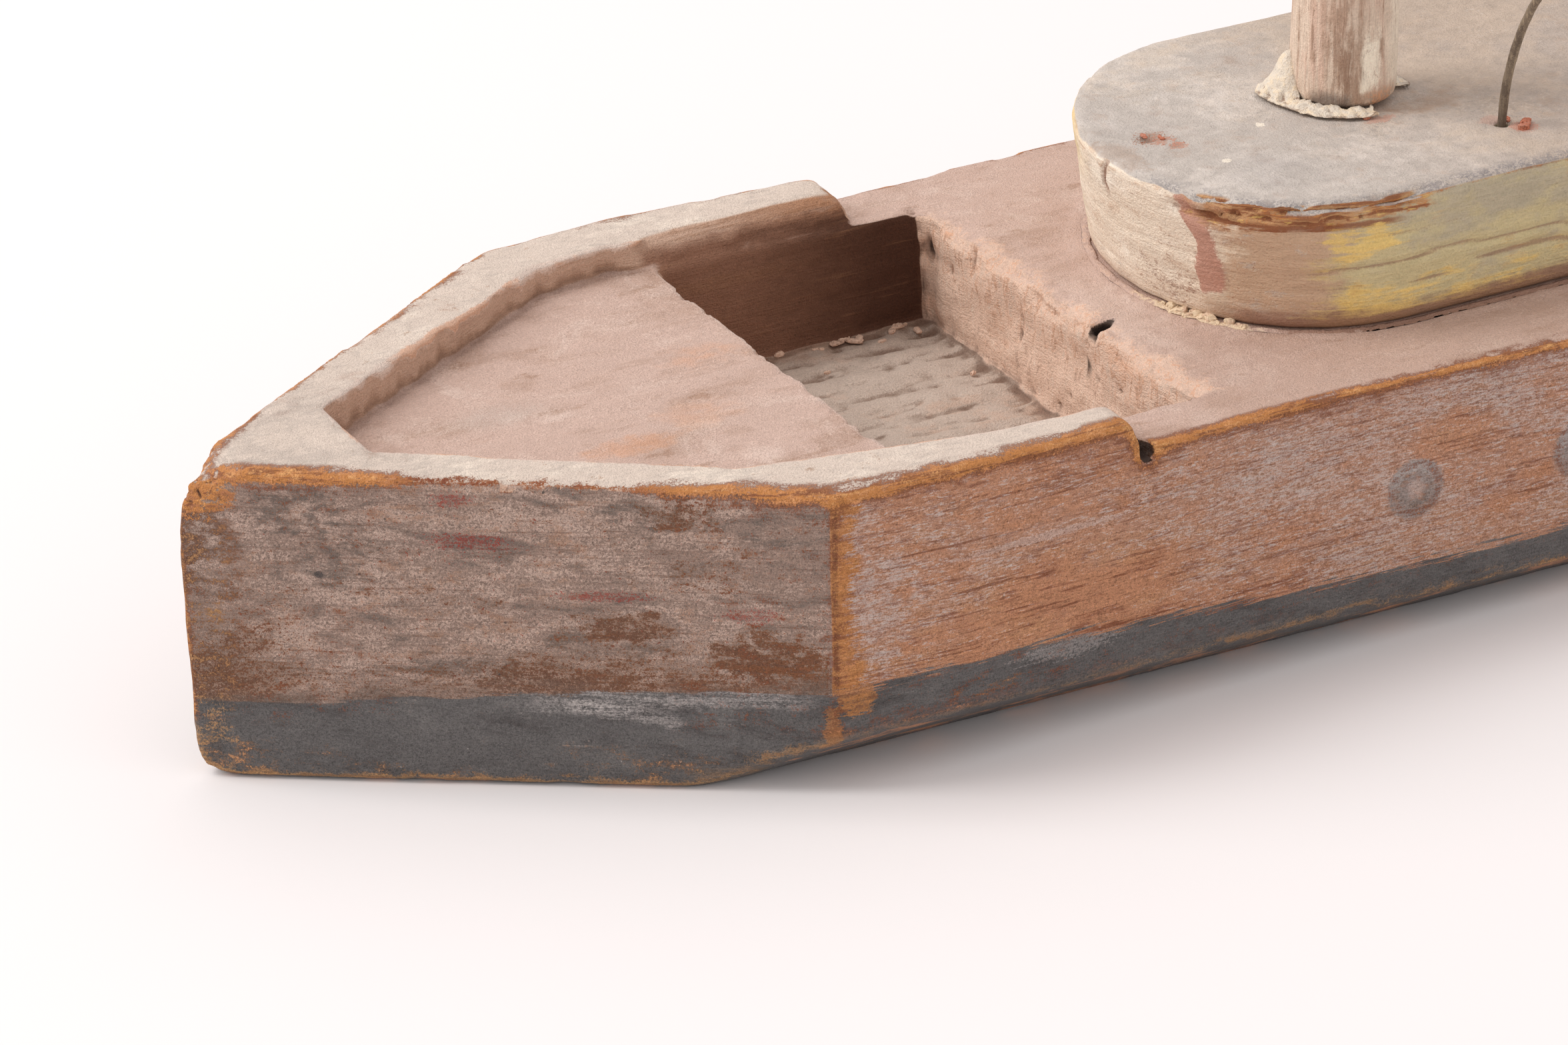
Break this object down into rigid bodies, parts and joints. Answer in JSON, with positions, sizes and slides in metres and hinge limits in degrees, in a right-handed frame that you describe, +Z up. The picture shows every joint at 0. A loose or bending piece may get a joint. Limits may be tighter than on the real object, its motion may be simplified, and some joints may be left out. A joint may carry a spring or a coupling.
{
  "type": "toy boat",
  "caption": "Hand-carved wooden toy boat: one-block hull with a raised bow rim and open cargo well, rounded deckhouse, dowel funnel and bent wire davit.",
  "frame": {"origin": "on the ground plane, under the middle of the hull's length and beam", "axes": "+X forward to the bow, +Y to port, +Z up"},
  "size_m": [0.381, 0.0884, 0.104],
  "materials": {
    "hull_wood": "worn mauve-brown and slate grey paint over orange-brown softwood",
    "deckhouse_wood": "worn cream to olive paint on the sides, blue-grey paint on the roof",
    "funnel_wood": "weathered mauve and cream paint on a dowel",
    "davit_steel": "dark oxidised wire",
    "nail_steel": "dull, slightly rusty",
    "glue": "dried cream glue",
    "filler": "painted filler with yellow crumbs of glue"
  },
  "bodies": {
    "root": {"hull": "hull_wood", "deckhouse": "deckhouse_wood", "funnel": "funnel_wood", "davit_wire": "davit_steel", "deckhouse_nail_fore": "nail_steel", "deckhouse_nail_aft": "nail_steel", "funnel_nail": "nail_steel", "funnel_glue": "glue", "deckhouse_filler": "filler"}
  },
  "joints": []
}
